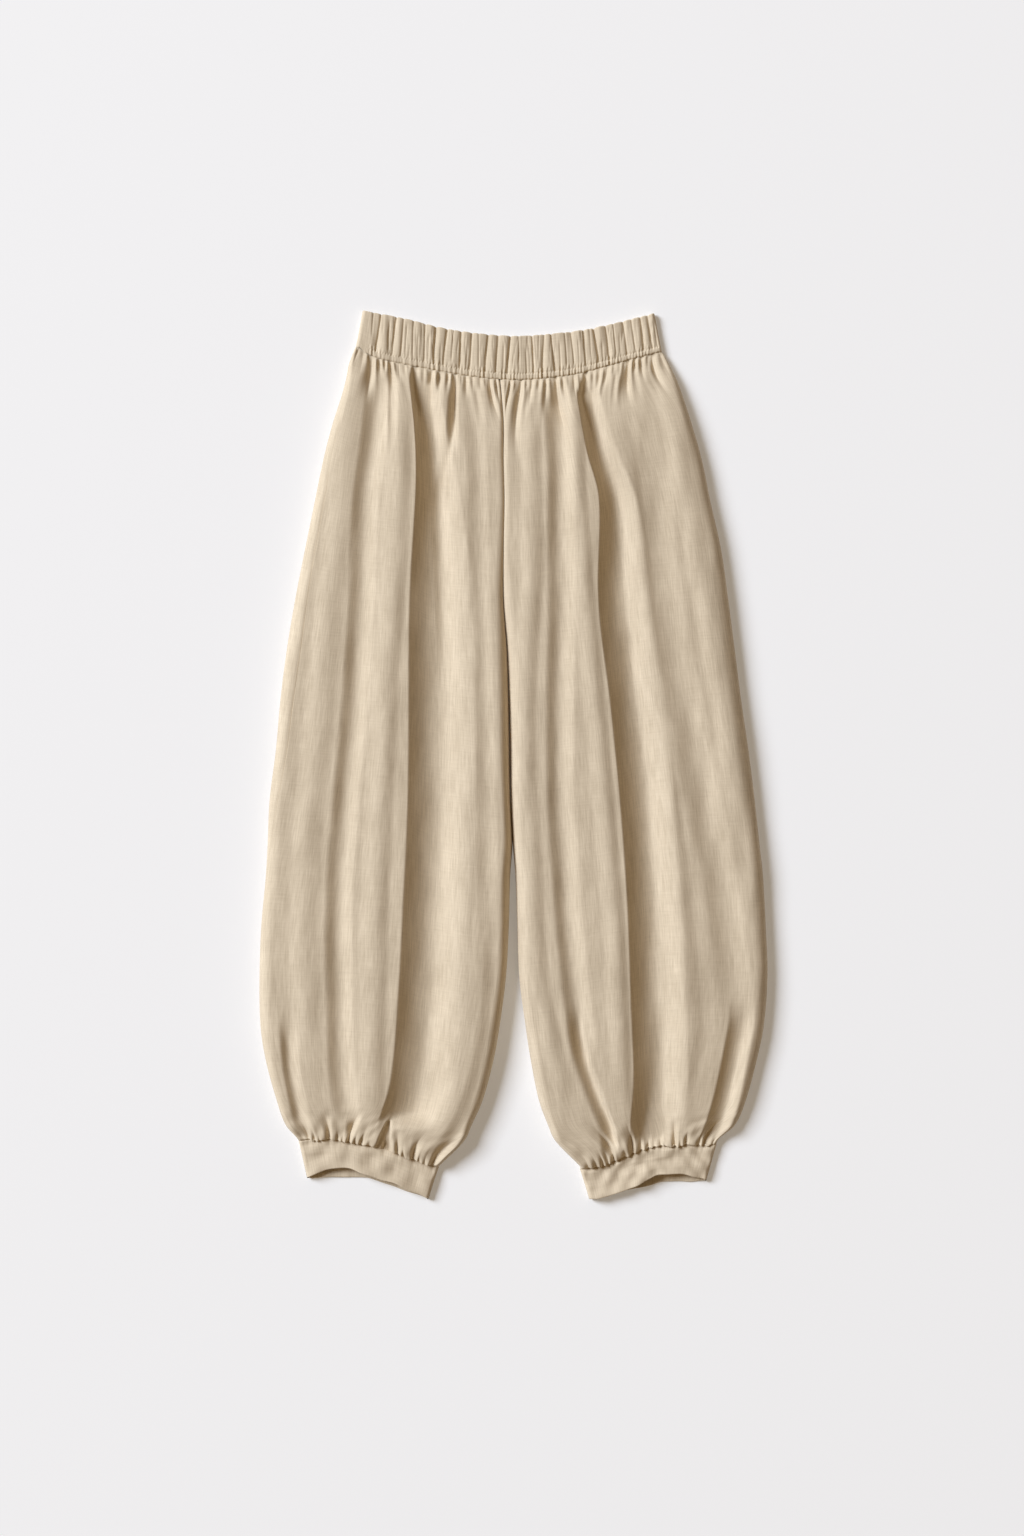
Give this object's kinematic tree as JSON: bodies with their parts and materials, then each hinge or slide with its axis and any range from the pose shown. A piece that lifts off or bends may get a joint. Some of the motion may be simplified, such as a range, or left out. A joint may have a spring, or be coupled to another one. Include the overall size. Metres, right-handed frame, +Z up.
{
  "type": "balloon trousers",
  "caption": "Linen balloon trousers with a gathered elastic waistband, full legs and narrow gathered cuffs, laid flat and face up.",
  "frame": {"origin": "middle of the underside, on the surface that the trousers lie on", "axes": "+X to the wearer's left, +Y along the legs towards the waist, +Z up from the surface"},
  "size_m": [0.5577, 0.9743, 0.0315],
  "materials": {
    "linen_panels": "matt woven linen",
    "linen_waistband": "matt woven linen, gathered over elastic",
    "linen_cuffs": "matt woven linen, doubled"
  },
  "bodies": {
    "root": {"waistband_front": "linen_waistband", "waistband_back": "linen_waistband", "front_right": "linen_panels", "front_left": "linen_panels", "back_right": "linen_panels", "back_left": "linen_panels", "cuff_front_right": "linen_cuffs", "cuff_back_right": "linen_cuffs", "cuff_front_left": "linen_cuffs", "cuff_back_left": "linen_cuffs"}
  },
  "joints": []
}
